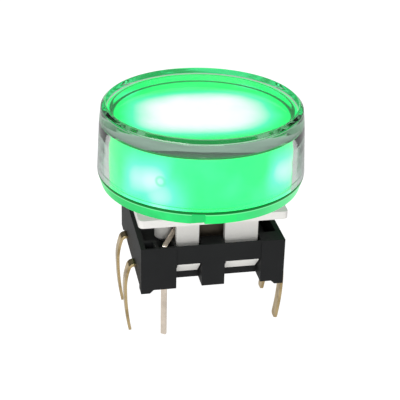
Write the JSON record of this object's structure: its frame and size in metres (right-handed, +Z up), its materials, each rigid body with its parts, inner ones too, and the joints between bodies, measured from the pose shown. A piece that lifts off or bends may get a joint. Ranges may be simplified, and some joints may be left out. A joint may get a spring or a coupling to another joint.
{
  "type": "illuminated tactile switch",
  "caption": "Round clear push cap lit from inside, on a square through-hole tactile switch base with snap-in slider, curved solder terminals and LED pins.",
  "frame": {"origin": "centre of the switch on the board's face, under the housing's feet", "axes": "+Z up through the button, -Y towards the front wall, X along the front wall"},
  "size_m": [0.0174, 0.0174, 0.0199],
  "materials": {
    "clear_cap": "polished clear polycarbonate",
    "milky_diffuser": "milky moulded plastic, lit green from inside",
    "translucent_ring": "translucent moulded plastic, lit green from inside",
    "lamp_epoxy": "clear epoxy",
    "plated_lead": "plated wire with a warm tint",
    "white_moulding": "satin white moulding",
    "brown_moulding": "satin brown moulding",
    "spring_steel": "bright rolled strip",
    "black_moulding": "satin black moulding",
    "terminal_brass": "pale plated brass strip"
  },
  "bodies": {
    "base": {"housing": "black_moulding", "inner_cover": "black_moulding", "snap_dome": "spring_steel", "contact_strip_front": "terminal_brass", "contact_strip_rear": "terminal_brass", "led_lead_front": "plated_lead", "led_lead_rear": "plated_lead"},
    "button": {"lens_cap": "clear_cap", "diffuser": "milky_diffuser", "cap_base_ring": "translucent_ring", "led_lamp": "lamp_epoxy", "slider": "white_moulding", "tact_stem": "brown_moulding"}
  },
  "joints": [
    {"name": "button_press", "type": "slide", "parent": "base", "child": "button", "axis": [0, 0, -1], "range_m": [0, 0.00035], "stiffness_N_per_m": 4500, "deforming": ["snap_dome", "led_lead_front", "led_lead_rear"]}
  ]
}
